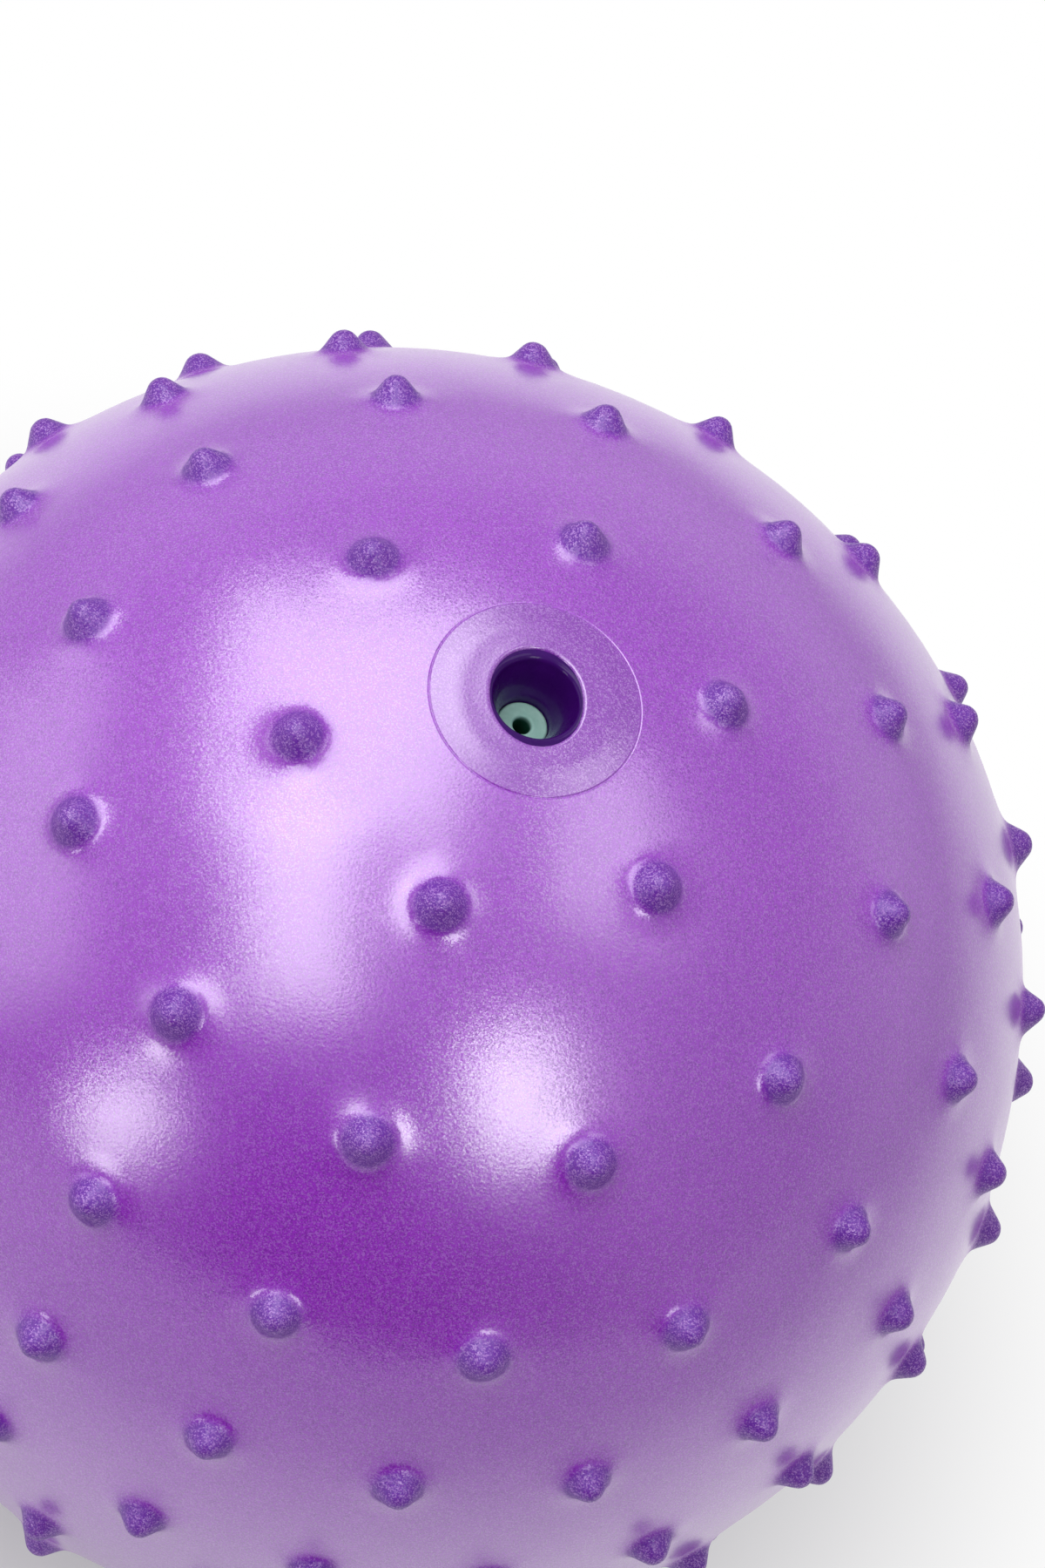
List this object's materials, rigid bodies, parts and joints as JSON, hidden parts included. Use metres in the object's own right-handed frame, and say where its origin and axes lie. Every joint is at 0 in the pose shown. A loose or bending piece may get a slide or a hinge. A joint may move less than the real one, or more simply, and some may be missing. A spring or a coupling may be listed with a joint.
{
  "type": "sensory ball",
  "caption": "Hollow inflatable play ball with moulded cone-shaped nubs all round and a recessed needle valve closed by a soft bung.",
  "frame": {"origin": "centre of the ball", "axes": "+Z out along the valve axis; the picture's camera stands on the -Y side, 63 degrees above the equator"},
  "size_m": [0.1854, 0.1857, 0.1798],
  "materials": {
    "skin": "satin pearl",
    "sleeve": "gloss",
    "bung": "matte"
  },
  "bodies": {
    "ball": {"ball_skin": "skin", "valve_sleeve": "sleeve"},
    "bung": {"valve_bung": "bung"}
  },
  "joints": [
    {"name": "bung_pull", "type": "slide", "parent": "ball", "child": "bung", "axis": [0, 0, 1], "range_m": [0, 0.025]}
  ]
}
